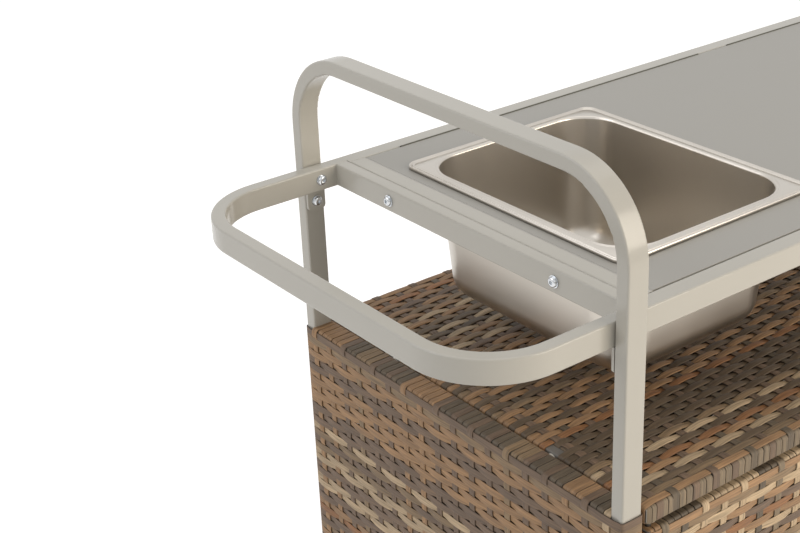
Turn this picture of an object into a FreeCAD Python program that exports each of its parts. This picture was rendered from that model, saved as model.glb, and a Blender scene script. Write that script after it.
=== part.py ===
import FreeCAD, Part
import math
import os

# Rattan bar cart, in millimetres, +Z up. It is drawn with x = 0 on the left hoop's outer face,
# y = 0 midway between front and back (front is -Y) and z = 0 on the floor, and moved on export
# so that the origin is the middle of its footprint.

V = FreeCAD.Vector
X_AXIS = V(1, 0, 0)
Y_AXIS = V(0, 1, 0)
Z_AXIS = V(0, 0, 1)

# Overall sizes
cart_length = 950.0
cart_depth = 500.0
worktop_height = 800.0
hoop_rise = 132.0
handle_reach = 150.0
shelf_drop = 192.0

# Bent tubes: hoops and push handle
hoop_tube_width = 24.0
hoop_tube_depth = 15.0
hoop_bend = 84.0
arm_width = 15.0
handle_bend = 84.0
tube_wall = 1.2
tube_edge = 2.0

# Tray
tray_height = 25.0
tray_rail_width = 20.0
beam_width = 15.0
beam_setback = 32.0
tray_end_gap = 4.0
panel_steel = 1.5
panel_skirt = 18.0
panel_front_gap = 1.0
panel_back_gap = 2.0
panel_end_gap = 0.4
panel_corner = 2.0
ledge_width = 10.0
ledge_steel = 3.0
stiffener_width = 20.0
stiffener_height = 12.0
end_cap_lip = 2.0
end_cap_depth = 6.0

# Ice pan, a half-size food pan with its long side across the cart
pan_length = 325.0
pan_width = 265.0
pan_depth = 150.0
pan_from_hoop = 79.5
pan_steel = 1.0
pan_flange = 11.4
pan_skirt = 4.0
pan_flange_corner = 14.0
pan_mouth_corner = 47.6
pan_roll = 1.2
pan_taper = 12.0
pan_bottom_round = 28.0
pan_hole_gap = 2.0
pan_seat_gap = 0.2

# Woven panels: a woven skin round frames of square tube
weave = 2.0
end_rail_height = 15.0
shelf_tube_width = 20.0
shelf_tube_height = 15.0
shelf_gap = 2.0
shelf_lip = 12.0
panel_tube = 15.0
bar_setback = 2.5
door_side_gap = 5.0
door_top_gap = 7.0
door_bottom_gap = 5.6
door_middle_gap = 4.0
weave_edge = 3.0
bare_spot = 13.0
bare_spot_depth = 8.0

# Base
base_rail_height = 25.0
base_bar_width = 25.0
base_bar_height = 15.0
floor_steel = 1.2
floor_gap = 1.0
corner_plate = 100.0
corner_plate_steel = 3.0

# Bolts, washers, spacers and threaded inserts
bolt_radius = 3.0
bolt_head_radius = 5.25
bolt_head_height = 3.3
bolt_socket = 4.0
bolt_socket_depth = 1.8
bolt_clearance = 0.3
washer_radius = 6.2
washer_steel = 1.2
spacer_radius = 6.0
arm_spacer = 1.0
insert_radius = 4.5
insert_length = 10.0
insert_clearance = 0.05
bolt_tip_gap = 1.5
beam_bolt_spread = 125.0
shelf_bolt_spread = 125.0
tab_width = 22.0
tab_drop = 26.0
tab_steel = 3.0
tab_corner = 5.0
tab_bolt_drop = 15.0

# Door pivots, knobs, catch and strikes
pivot_radius = 3.0
pivot_clearance = 0.05
pivot_plug_length = 18.0
pivot_plug_fit = 0.1
pivot_reach = 3.5
bush_radius = 4.5
bush_length = 4.0
bush_flange_radius = 7.0
bush_flange = 3.0
bush_hole_gap = 0.5
bush_seat_gap = 0.3
knob_projection = 20.0
knob_radius = 11.0
knob_neck_radius = 4.5
knob_head = 9.0
knob_from_top = 90.0
stud_radius = 2.0
stud_length = 10.0
stud_clearance = 0.2
catch_width = 36.0
catch_depth = 16.0
catch_height = 27.0
catch_gap = 0.3
strike_width = 14.0
strike_height = 12.0
strike_steel = 1.2
strike_inset = 3.0

# Straps that hold the back panel
strap_height = 16.0
strap_steel = 2.0
strap_end = 6.0
strap_from_edge = 60.0
screw_radius = 2.0
screw_head_radius = 4.0
screw_head_height = 2.4
screw_length = 8.0
screw_clearance = 0.2

# Casters
wheel_radius = 37.5
tyre_width = 22.0
tyre_edge = 4.0
hub_radius = 28.0
hub_width = 18.0
hub_boss_radius = 10.0
hub_boss_width = 26.0
caster_trail = 24.0
caster_inset = 62.0
fork_steel = 2.5
fork_side_gap = 0.5
fork_headroom = 9.0
fork_eye_radius = 11.0
fork_seat_radius = 22.0
axle_radius = 4.0
axle_clearance = 0.05
axle_head_radius = 6.5
axle_head = 2.5
kingpin_radius = 5.0
kingpin_clearance = 0.05
kingpin_head_radius = 8.0
kingpin_head = 4.0
swivel_gap = 0.4
race_radius = 20.0
race_height = 7.0
caster_plate = 64.0
caster_plate_steel = 2.5
caster_bolt_pitch = 48.0
nut_flats = 9.5
nut_height = 5.0

# Heights that follow from the sizes above
fork_bottom = 2 * wheel_radius + fork_headroom
fork_top = fork_bottom + fork_steel
caster_plate_bottom = fork_top + swivel_gap + race_height
caster_plate_top = caster_plate_bottom + caster_plate_steel
leg_bottom = caster_plate_top + corner_plate_steel
base_top = leg_bottom + base_rail_height
rim_top = worktop_height - shelf_drop
shelf_frame_top = rim_top - weave
shelf_frame_bottom = shelf_frame_top - shelf_tube_height
shelf_bottom = shelf_frame_bottom - weave
end_rail_top = rim_top - weave
end_rail_bottom = end_rail_top - end_rail_height
door_bottom = base_top + door_bottom_gap
door_top = shelf_bottom - door_top_gap
tray_bottom = worktop_height - tray_height
arm_bolt_z = worktop_height - tray_height / 2
tab_bolt_z = tray_bottom - tab_bolt_drop
hoop_top = worktop_height + hoop_rise
ledge_top = worktop_height - panel_skirt

# Depths that follow
leg_outer = cart_depth / 2
leg_inner = leg_outer - hoop_tube_depth
weave_outer = leg_outer + weave
arm_outer = leg_inner - arm_spacer
arm_inner = arm_outer - arm_width
rail_inner = arm_outer - tray_rail_width
panel_back = leg_outer - panel_tube
panel_back_skin = panel_back - weave
shelf_rail_inner = leg_outer - shelf_tube_width

# Lengths that follow
right_hoop_x = cart_length - hoop_tube_width
tray_left = beam_setback + beam_width
tray_left_inner = tray_left + tray_rail_width
tray_right = right_hoop_x - tray_end_gap
tray_right_inner = tray_right - tray_rail_width
shelf_left = hoop_tube_width + weave + shelf_gap
shelf_right = cart_length - shelf_left
shelf_frame_left = shelf_left + weave
shelf_frame_right = shelf_right - weave
door_left = hoop_tube_width + weave + door_side_gap
door_right = cart_length - door_left
middle_x = cart_length / 2
left_door_edge = middle_x - door_middle_gap / 2
right_door_edge = middle_x + door_middle_gap / 2
hinge_inset = weave + panel_tube / 2
hinge_y = -(leg_outer - panel_tube / 2)
pan_left = pan_from_hoop
pan_middle = pan_left + pan_width / 2

# The drawing's point that becomes the origin: the middle of the box round the whole cart
origin = V((cart_length + weave - handle_reach) / 2, -knob_projection / 2, 0)

parts = {}


def add(node, *solids):
    """Keep solids under the node they belong to."""
    parts.setdefault(node, []).extend(solids)


def drill_nodes(nodes, cutter):
    """Cut one hole through every solid of the named nodes that it reaches."""
    for node in nodes:
        parts[node] = [s.cut(cutter) if s.BoundBox.intersect(cutter.BoundBox) else s for s in parts[node]]


# Shapes used all over

def block(x, y, z):
    """A box between the low and high limits on each axis."""
    return Part.makeBox(x[1] - x[0], y[1] - y[0], z[1] - z[0], V(x[0], y[0], z[0]))


def mirrored(low, high, side):
    """Limits on the side of the mid-plane that side (-1 or 1) points to."""
    return (low, high) if side > 0 else (-high, -low)


def edges_along(shape, direction):
    """The straight edges of a shape that run along a direction."""
    found = []
    for edge in shape.Edges:
        if isinstance(edge.Curve, (Part.Line, Part.LineSegment)):
            if abs(edge.tangentAt(edge.FirstParameter).dot(direction)) > 0.999:
                found.append(edge)
    return found


def rounded_block(x, y, z, direction, radius):
    """A box whose edges along one direction are rounded."""
    shape = block(x, y, z)
    return shape.makeFillet(radius, edges_along(shape, direction))


def tube(x, y, z, direction):
    """A straight rectangular tube with open ends."""
    limits = []
    for span, along in zip((x, y, z), direction):
        limits.append(span if along else (span[0] + tube_wall, span[1] - tube_wall))
    outer = rounded_block(x, y, z, direction, tube_edge)
    return outer.cut(rounded_block(*limits, direction, tube_edge - tube_wall))


def cylinder(start, direction, radius, length):
    return Part.makeCylinder(radius, length, start, direction)


def ring(start, direction, outer_radius, inner_radius, length):
    outer = cylinder(start, direction, outer_radius, length)
    return outer.cut(cylinder(start, direction, inner_radius, length))


def rounded_rectangle(centre, across, up, width, height, radius):
    """A closed outline of four lines and four quarter arcs."""
    corners = [(1, 1), (-1, 1), (-1, -1), (1, -1)]
    a, b = width / 2 - radius, height / 2 - radius
    arcs = []
    for i, (sx, sy) in enumerate(corners):
        middle = centre + across * (sx * a) + up * (sy * b)
        turns = [math.radians(90 * i + step) for step in (0, 45, 90)]
        points = [middle + across * (radius * math.cos(t)) + up * (radius * math.sin(t)) for t in turns]
        arcs.append(Part.Arc(*points).toShape())
    edges = []
    for i, arc in enumerate(arcs):
        edges.append(arc)
        following = arcs[(i + 1) % 4]
        edges.append(Part.makeLine(arc.Vertexes[-1].Point, following.Vertexes[0].Point))
    return Part.Wire(edges)


def u_path(points, radius):
    """Three straight runs through four points, with a quarter arc at each inner point."""
    edges = []
    start = points[0]
    for i in (1, 2):
        corner = points[i]
        before = (corner - points[i - 1]).normalize()
        after = (points[i + 1] - corner).normalize()
        first, last = corner - before * radius, corner + after * radius
        half = corner - before * radius + after * radius + (before - after) * (radius / math.sqrt(2))
        edges.append(Part.makeLine(start, first))
        edges.append(Part.Arc(first, half, last).toShape())
        start = last
    edges.append(Part.makeLine(start, points[3]))
    return Part.Wire(edges)


def bent_tube(points, bend, across, up, width, height):
    """A hollow tube along a U; width lies along across and height along up at its start."""
    path = u_path(points, bend)
    shells = []
    for inset in (0.0, tube_wall):
        outline = rounded_rectangle(
            points[0], across, up, width - 2 * inset, height - 2 * inset, tube_edge - inset)
        shells.append(path.makePipeShell([outline], True, False))
    return shells[0].cut(shells[1])


def pointing(shape, point, direction):
    """Turn a shape made along +Z from the origin to a direction, and move it to a point."""
    shape.Placement = FreeCAD.Placement(point, FreeCAD.Rotation(Z_AXIS, direction))
    return shape


# Fasteners

def hexagon(across_flats, z):
    radius = across_flats / math.sqrt(3)
    corners = [V(radius * math.cos(math.radians(60 * i)), radius * math.sin(math.radians(60 * i)), z)
               for i in range(7)]
    return Part.Face(Part.makePolygon(corners))


def button_head(radius, height):
    """A domed head below z = 0, flat on its seat."""
    rim = height / 3
    flat = radius / 2
    shoulder = math.cos(math.radians(45))
    halfway = V(flat + (radius - flat) * shoulder, 0, -rim - (height - rim) * shoulder)
    outline = Part.Wire([
        Part.makeLine(V(0, 0, 0), V(radius, 0, 0)),
        Part.makeLine(V(radius, 0, 0), V(radius, 0, -rim)),
        Part.Arc(V(radius, 0, -rim), halfway, V(flat, 0, -height)).toShape(),
        Part.makeLine(V(flat, 0, -height), V(0, 0, -height)),
        Part.makeLine(V(0, 0, -height), V(0, 0, 0)),
    ])
    return Part.Face(outline).revolve(V(0, 0, 0), Z_AXIS, 360)


def button_bolt(seat, direction, length):
    """A socket-head bolt with its head on a seat and its shank along a direction."""
    head = button_head(bolt_head_radius, bolt_head_height)
    socket = hexagon(bolt_socket, -bolt_head_height).extrude(V(0, 0, bolt_socket_depth))
    shank = cylinder(V(0, 0, 0), Z_AXIS, bolt_radius, length)
    return pointing(head.cut(socket).fuse(shank).removeSplitter(), seat, direction)


def bolted_joint(seat, direction, grip, drilled, inserted):
    """A bolt and washer through a grip into a threaded insert, with the holes they need.

    seat is on the face under the washer, and the insert starts at the grip's far end."""
    under_head = seat - direction * washer_steel
    far_end = seat + direction * grip
    hole = bolt_radius + bolt_clearance
    add("frame_bolts", button_bolt(
        under_head, direction, washer_steel + grip + insert_length - bolt_tip_gap))
    add("bolt_washers", ring(under_head, direction, washer_radius, hole, washer_steel))
    add("threaded_inserts", ring(
        far_end, direction, insert_radius, bolt_radius + insert_clearance, insert_length))
    drill_nodes(drilled, cylinder(under_head, direction, hole, washer_steel + grip))
    drill_nodes(inserted, cylinder(far_end, direction, insert_radius, insert_length))


def spacer(start, direction, length):
    add("frame_spacers", ring(start, direction, spacer_radius, bolt_radius + bolt_clearance, length))


# Hoops, end rails and end weave

def make_hoop(node, x):
    middle = x + hoop_tube_width / 2
    leg = leg_outer - hoop_tube_depth / 2
    top = hoop_top - hoop_tube_depth / 2
    points = [V(middle, -leg, leg_bottom), V(middle, -leg, top),
              V(middle, leg, top), V(middle, leg, leg_bottom)]
    bend = hoop_bend - hoop_tube_depth / 2
    add(node, bent_tube(points, bend, X_AXIS, Y_AXIS, hoop_tube_width, hoop_tube_depth))


def make_end_rails(x):
    span = (x, x + hoop_tube_width)
    across = (-leg_inner, leg_inner)
    add("end_rails", tube(span, across, (end_rail_bottom, end_rail_top), Y_AXIS))
    add("end_rails", tube(span, across, (leg_bottom, base_top), Y_AXIS))


def make_end_weave(node, x, outward):
    """The woven skin over one end, wrapped round its legs and rails; outward is -1 or 1 along X."""
    outer = rounded_block(
        (x - weave, x + hoop_tube_width + weave), (-weave_outer, weave_outer), (leg_bottom, rim_top),
        Z_AXIS, weave_edge)
    rail_span = (x, x + hoop_tube_width)
    hidden = [block(rail_span, (-leg_inner, leg_inner), (end_rail_bottom, end_rail_top)),
              block(rail_span, (-leg_inner, leg_inner), (leg_bottom, base_top))]
    for side in (-1, 1):
        hidden.append(rounded_block(
            rail_span, mirrored(leg_inner, leg_outer, side), (leg_bottom, rim_top), Z_AXIS, tube_edge))
    # The inner side is open between the wrapped tubes, and bare at the base rails
    window_x = (x, x + hoop_tube_width + weave) if outward < 0 else (x - weave, x + hoop_tube_width)
    inner_x = (x + hoop_tube_width, x + hoop_tube_width + weave) if outward < 0 else (x - weave, x)
    open_y = leg_inner - weave
    hidden.append(block(window_x, (-open_y, open_y), (base_top + weave, end_rail_bottom - weave)))
    hidden.append(block(inner_x, (-weave_outer, weave_outer), (leg_bottom, base_top + weave)))
    shape = outer
    for cutter in hidden:
        shape = shape.cut(cutter)
    add(node, shape)


# Handle and tray

def make_handle():
    arm = arm_outer - arm_width / 2
    tip = -handle_reach + arm_width / 2
    height = worktop_height - tray_height / 2
    points = [V(tray_left, -arm, height), V(tip, -arm, height),
              V(tip, arm, height), V(tray_left, arm, height)]
    bend = handle_bend - arm_width / 2
    add("push_handle", bent_tube(points, bend, Y_AXIS, Z_AXIS, arm_width, tray_height))
    add("cross_beam", tube(
        (beam_setback, tray_left), (-arm_inner, arm_inner), (tray_bottom, worktop_height), Y_AXIS))


def make_tray_rails():
    high = (tray_bottom, worktop_height)
    for side in (-1, 1):
        across = mirrored(rail_inner, arm_outer, side)
        add("tray_side_rails", tube((tray_left, cart_length), across, high, X_AXIS))
        lip = rounded_block((cart_length, cart_length + end_cap_lip), across, high, X_AXIS, tube_edge)
        inside = [(low + tube_wall, top - tube_wall) for low, top in (across, high)]
        plug_x = (cart_length - end_cap_depth, cart_length)
        plug = rounded_block(plug_x, *inside, X_AXIS, tube_edge - tube_wall)
        add("tray_end_caps", lip.fuse(plug))
    between = (-rail_inner, rail_inner)
    add("tray_end_rails", tube((tray_left, tray_left_inner), between, high, Y_AXIS))
    add("tray_end_rails", tube((tray_right_inner, tray_right), between, high, Y_AXIS))


def make_worktop():
    """The inset panel with a turned-down skirt, its stiffeners and the ledges that carry it."""
    x = (tray_left_inner + panel_end_gap, tray_right_inner - panel_end_gap)
    y = (-rail_inner + panel_front_gap, rail_inner - panel_back_gap)
    inside_skirt = (y[0] + panel_steel, y[1] - panel_steel)
    outer = rounded_block(x, y, (ledge_top, worktop_height), Z_AXIS, panel_corner)
    inner = block((x[0] + panel_steel, x[1] - panel_steel), inside_skirt,
                  (ledge_top, worktop_height - panel_steel))
    mouth = Part.Face(pan_outline(worktop_height - panel_skirt, -pan_hole_gap))
    add("worktop_panel", outer.cut(inner).cut(mouth.extrude(V(0, 0, panel_skirt))))
    top = worktop_height - panel_steel
    clear_of_pan = pan_left + pan_width
    for share in (1, 2):
        middle = clear_of_pan + (x[1] - clear_of_pan) * share / 3
        add("panel_stiffeners", tube(
            (middle - stiffener_width / 2, middle + stiffener_width / 2),
            inside_skirt, (top - stiffener_height, top), Y_AXIS))
    low = (ledge_top - ledge_steel, ledge_top)
    ledge_inner = rail_inner - ledge_width
    for side in (-1, 1):
        add("panel_ledges", block(
            (tray_left_inner, tray_right_inner), mirrored(ledge_inner, rail_inner, side), low))
    for start in (tray_left_inner, tray_right_inner - ledge_width):
        add("panel_ledges", block((start, start + ledge_width), (-ledge_inner, ledge_inner), low))


def pan_outline(z, inset, taper=0.0):
    """The pan's mouth outline at one height, drawn in by an inset and a taper."""
    shrink = 2 * (pan_flange + inset + taper)
    return rounded_rectangle(
        V(pan_middle, 0, z), X_AXIS, Y_AXIS, pan_width - shrink, pan_length - shrink,
        pan_mouth_corner - inset - taper / 2)


def pan_body(top, bottom, inset):
    """The pan's bowl as a solid: a slanted throat under the mouth, tapered walls and a rounded floor edge."""
    neck = inset + pan_roll
    wall_top = top - pan_roll
    throat = Part.makeLoft([pan_outline(top, inset), pan_outline(wall_top, neck)], True, True)
    bowl = Part.makeLoft([pan_outline(wall_top, neck), pan_outline(bottom, neck, pan_taper)], True, True)
    floor = min(bowl.Faces, key=lambda face: face.CenterOfMass.z)
    return throat.fuse(bowl.makeFillet(pan_bottom_round - inset, floor.Edges))


def make_pan():
    seat = worktop_height + pan_seat_gap
    top = seat + pan_skirt
    bottom = top - pan_depth
    plates = []
    for inset, low, high in ((0.0, seat, top), (pan_steel, seat, top - pan_steel)):
        outline = rounded_rectangle(
            V(pan_middle, 0, low), X_AXIS, Y_AXIS, pan_width - 2 * inset, pan_length - 2 * inset,
            pan_flange_corner - inset)
        plates.append(Part.Face(outline).extrude(V(0, 0, high - low)))
    flange = plates[0].cut(plates[1])
    outside = pan_body(top, bottom, 0.0)
    inside = pan_body(top, bottom + pan_steel, pan_steel)
    add("ice_pan", flange.fuse(outside).cut(inside).removeSplitter())


def make_tabs():
    """Plates under the arms and the rails' far ends, each bolted to a leg, and the bolts beside them."""
    for x, hoop, carrier, inner in ((0.0, "left_hoop", "push_handle", arm_inner),
                                    (right_hoop_x, "right_hoop", "tray_side_rails", rail_inner)):
        middle = x + hoop_tube_width / 2
        for side in (-1, 1):
            outward = Y_AXIS * side
            plate = block(
                (middle - tab_width / 2, middle + tab_width / 2),
                mirrored(arm_outer - tab_steel, arm_outer, side), (tray_bottom - tab_drop, tray_bottom))
            lower = [e for e in edges_along(plate, Y_AXIS) if e.CenterOfMass.z < tray_bottom - tab_drop / 2]
            add("post_tabs", plate.makeFillet(tab_corner, lower))
            for z, start, drilled in ((arm_bolt_z, inner, carrier),
                                      (tab_bolt_z, arm_outer - tab_steel, "post_tabs")):
                spacer(V(middle, side * arm_outer, z), outward, arm_spacer)
                bolted_joint(V(middle, side * start, z), outward, leg_inner - start, [drilled], [hoop])


def make_beam_bolts():
    for side in (-1, 1):
        seat = V(beam_setback, side * beam_bolt_spread, arm_bolt_z)
        bolted_joint(seat, X_AXIS, beam_width, ["cross_beam"], ["tray_end_rails"])


# Shelf

def make_shelf():
    """The shelf's tube frame and the woven skin that wraps it."""
    x = (shelf_frame_left, shelf_frame_right)
    z = (shelf_frame_bottom, shelf_frame_top)
    inner = (-shelf_rail_inner, shelf_rail_inner)
    for side in (-1, 1):
        add("shelf_frame", tube(x, mirrored(shelf_rail_inner, leg_outer, side), z, X_AXIS))
    for start in (x[0], x[1] - shelf_tube_width):
        add("shelf_frame", tube((start, start + shelf_tube_width), inner, z, Y_AXIS))
    for share in (1, 2, 3):
        middle = x[0] + (x[1] - x[0]) * share / 4
        add("shelf_frame", tube(
            (middle - shelf_tube_width / 2, middle + shelf_tube_width / 2), inner,
            (z[0], z[1] - bar_setback), Y_AXIS))
    outer = rounded_block((shelf_left, shelf_right), (-weave_outer, weave_outer), (shelf_bottom, rim_top),
                          X_AXIS, weave_edge)
    inside = block(x, (-leg_outer, leg_outer), z)
    lip_y = leg_outer - shelf_lip
    under = block((x[0] + shelf_lip, x[1] - shelf_lip), (-lip_y, lip_y), (shelf_bottom, shelf_frame_bottom))
    add("shelf_weave", outer.cut(inside).cut(under))


def make_shelf_bolts():
    """Bolts from the shelf's end rails into the end panels, through spacers at bare spots in the weave."""
    z = (shelf_frame_bottom + shelf_frame_top) / 2
    for side in (-1, 1):
        y = side * shelf_bolt_spread
        for inner_x, frame_x, rail_x, outward in (
                (shelf_frame_left + shelf_tube_width, shelf_frame_left, hoop_tube_width, X_AXIS * -1),
                (shelf_frame_right - shelf_tube_width, shelf_frame_right, right_hoop_x, X_AXIS)):
            spot_end = frame_x - outward.x * bare_spot_depth
            outer_edge = frame_x + outward.x * weave
            bare = block(sorted((spot_end, outer_edge)), (y - bare_spot / 2, y + bare_spot / 2),
                         (shelf_bottom, rim_top))
            drill_nodes(["shelf_weave"], bare)
            wrap = cylinder(V(rail_x, y, z), outward * -1, spacer_radius, weave)
            drill_nodes(["left_end_weave", "right_end_weave"], wrap)
            spacer(V(frame_x, y, z), outward, abs(rail_x - frame_x))
            bolted_joint(V(inner_x, y, z), outward, abs(rail_x - inner_x), ["shelf_frame"], ["end_rails"])


# Woven panels: doors and back

def woven_panel(frame_node, weave_node, x, side, bars):
    """A frame of square tube with a woven skin on the face that side (-1 or 1 along Y) points to."""
    frame_x = (x[0] + weave, x[1] - weave)
    frame_z = (door_bottom + weave, door_top - weave)
    y = mirrored(panel_back, leg_outer, side)
    inner_x = (frame_x[0] + panel_tube, frame_x[1] - panel_tube)
    inner_z = (frame_z[0] + panel_tube, frame_z[1] - panel_tube)
    for start in (frame_x[0], inner_x[1]):
        add(frame_node, tube((start, start + panel_tube), y, frame_z, Z_AXIS))
    for start in (frame_z[0], inner_z[1]):
        add(frame_node, tube(inner_x, y, (start, start + panel_tube), X_AXIS))
    bar_y = mirrored(panel_back, leg_outer - bar_setback, side)
    for i in range(bars):
        middle = inner_x[0] + (inner_x[1] - inner_x[0]) * (i + 1) / (bars + 1)
        add(frame_node, tube((middle - panel_tube / 2, middle + panel_tube / 2), bar_y, inner_z, Z_AXIS))
    outer = rounded_block(x, mirrored(panel_back_skin, weave_outer, side), (door_bottom, door_top),
                          Z_AXIS, weave_edge)
    inside = block(frame_x, y, frame_z)
    window = block(inner_x, mirrored(panel_back_skin, panel_back, side), inner_z)
    add(weave_node, outer.cut(inside).cut(window))


def make_door(name, x, hinge_x, knob_x, strike_x):
    """One door with its pivots, knob and strike, and the bushes that carry it."""
    frame_node, weave_node = name + "_frame", name + "_weave"
    woven_panel(frame_node, weave_node, x, -1, 1)
    plug = panel_tube - 2 * tube_wall - 2 * pivot_plug_fit
    frame_low, frame_high = door_bottom + weave, door_top - weave
    for start, up, seat in ((frame_high, 1, shelf_frame_bottom), (frame_low, -1, base_top)):
        inside = sorted((start, start - up * pivot_plug_length))
        body = rounded_block(
            (hinge_x - plug / 2, hinge_x + plug / 2), (hinge_y - plug / 2, hinge_y + plug / 2),
            inside, Z_AXIS, tube_edge - tube_wall)
        end = V(hinge_x, hinge_y, start)
        pin = cylinder(end, Z_AXIS * up, pivot_radius, abs(seat - start) + pivot_reach)
        add(name + "_pivots", body.fuse(pin))
        drill_nodes([weave_node], cylinder(end, Z_AXIS * up, pivot_radius + bush_hole_gap, weave))
        make_bush(hinge_x, seat, up)
    make_knob(name, knob_x)
    strike_y = (-panel_back_skin, -panel_back_skin + strike_steel)
    strike_top = door_top - strike_inset
    add(name + "_strike", block(strike_x, strike_y, (strike_top - strike_height, strike_top)))


def make_bush(x, seat, up):
    """A flanged bush in the rail above (up = 1) or below (up = -1) a door's pivot."""
    if up > 0:
        flange = bush_flange
    else:
        flange = door_bottom_gap - bush_seat_gap
    start = V(x, hinge_y, seat - up * flange)
    body = cylinder(V(x, hinge_y, seat), Z_AXIS * up, bush_radius, bush_length)
    disc = cylinder(start, Z_AXIS * up, bush_flange_radius, flange)
    bore = cylinder(start, Z_AXIS * up, pivot_radius + pivot_clearance, flange + bush_length)
    add("door_bushes", disc.fuse(body).cut(bore).removeSplitter())
    drill_nodes(["shelf_frame", "base_rails"], body)
    clear = cylinder(start, Z_AXIS * up, bush_flange_radius + bush_hole_gap, flange)
    drill_nodes(["shelf_weave"], clear)


def make_knob(name, x):
    z = door_top - knob_from_top
    neck = knob_projection - knob_head
    face = V(x, -weave_outer, z)
    outward = Y_AXIS * -1
    head = cylinder(face + outward * neck, outward, knob_radius, knob_head)
    head = head.makeFillet(knob_head / 3, [e for e in head.Edges if e.Closed])
    knob = head.fuse(cylinder(face, outward, knob_neck_radius, neck))
    knob = knob.fuse(cylinder(face, Y_AXIS, stud_radius, stud_length))
    add(name + "_knob", knob.removeSplitter())
    hole = cylinder(face, Y_AXIS, stud_radius + stud_clearance, stud_length)
    drill_nodes([name + "_frame", name + "_weave"], hole)


def make_catch():
    front = -panel_back_skin + strike_steel + catch_gap
    add("door_catch", block(
        (middle_x - catch_width / 2, middle_x + catch_width / 2), (front, front + catch_depth),
        (shelf_frame_bottom - catch_height, shelf_frame_bottom)))


def make_back():
    """The fixed woven back, held to the back legs by straps on its inner face."""
    woven_panel("back_frame", "back_weave", (door_left, door_right), 1, 2)
    inward = panel_back_skin - strap_steel
    stile_end = door_left + weave + panel_tube
    for level in (door_bottom + strap_from_edge, door_top - strap_from_edge):
        for mirror in (False, True):
            xs = [strap_end, stile_end, hoop_tube_width / 2, door_left + hinge_inset]
            if mirror:
                xs = [cart_length - x for x in xs]
            z = (level - strap_height / 2, level + strap_height / 2)
            strap = block(sorted(xs[:2]), (inward, panel_back_skin), z)
            for x in xs[2:]:
                seat = V(x, inward, level)
                hole = cylinder(seat, Y_AXIS, screw_radius + screw_clearance, screw_length)
                strap = strap.cut(hole)
                head = button_head(screw_head_radius, screw_head_height)
                shank = cylinder(V(0, 0, 0), Z_AXIS, screw_radius, screw_length)
                add("strap_screws", pointing(head.fuse(shank).removeSplitter(), seat, Y_AXIS))
                drill_nodes(["left_hoop", "right_hoop", "left_end_weave", "right_end_weave",
                             "back_frame", "back_weave"], hole)
            add("back_straps", strap)


# Base and casters

def make_base():
    z = (leg_bottom, base_top)
    for side in (-1, 1):
        add("base_rails", tube(
            (hoop_tube_width, right_hoop_x), mirrored(leg_inner, leg_outer, side), z, X_AXIS))
    for share in (1, 2, 3):
        middle = cart_length * share / 4
        add("base_cross_bars", tube(
            (middle - base_bar_width / 2, middle + base_bar_width / 2), (-leg_inner, leg_inner),
            (base_top - base_bar_height, base_top), Y_AXIS))
    clear = hoop_tube_width + weave + floor_gap
    half = leg_inner - floor_gap
    sheet_z = (base_top, base_top + floor_steel)
    add("floor_panel", block((clear, cart_length - clear), (-half, half), sheet_z))


def caster_corners():
    """Name, swivel axis and the signs of the corner for each caster."""
    reach = cart_depth / 2 - caster_inset
    for end, x, along in (("left", caster_inset, -1), ("right", cart_length - caster_inset, 1)):
        for depth, side in (("front", -1), ("back", 1)):
            yield depth + "_" + end, x, side * reach, along, side


def make_corner(x, y, along, side):
    """A corner plate under a leg, the caster's top plate, kingpin, bolts and nuts."""
    edge_x = 0.0 if along < 0 else cart_length
    plate_x = sorted((edge_x, edge_x - along * corner_plate))
    plate_y = mirrored(leg_outer - corner_plate, leg_outer, side)
    plate = block(plate_x, plate_y, (caster_plate_top, leg_bottom))
    half = caster_plate / 2
    top = block((x - half, x + half), (y - half, y + half), (caster_plate_bottom, caster_plate_top))
    top = top.fuse(cylinder(V(x, y, caster_plate_bottom - race_height), Z_AXIS, race_radius, race_height))
    kingpin_bottom = fork_bottom - swivel_gap - kingpin_head
    pin = cylinder(V(x, y, kingpin_bottom), Z_AXIS, kingpin_radius, caster_plate_top - kingpin_bottom)
    top = top.cut(pin).removeSplitter()
    head = cylinder(V(x, y, kingpin_bottom), Z_AXIS, kingpin_head_radius, kingpin_head)
    add("caster_kingpins", pin.fuse(head).removeSplitter())
    grip = caster_plate_steel + corner_plate_steel
    for dx in (-caster_bolt_pitch / 2, caster_bolt_pitch / 2):
        for dy in (-caster_bolt_pitch / 2, caster_bolt_pitch / 2):
            seat = V(x + dx, y + dy, caster_plate_bottom)
            hole = cylinder(seat, Z_AXIS, bolt_radius + bolt_clearance, grip)
            plate, top = plate.cut(hole), top.cut(hole)
            add("caster_fasteners", button_bolt(seat, Z_AXIS, grip + nut_height))
            nut = hexagon(nut_flats, 0.0).extrude(V(0, 0, nut_height))
            nut = nut.cut(cylinder(V(0, 0, 0), Z_AXIS, bolt_radius + insert_clearance, nut_height))
            add("caster_fasteners", pointing(nut, seat + Z_AXIS * grip, Z_AXIS))
    add("corner_plates", plate)
    add("caster_top_plates", top)


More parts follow.
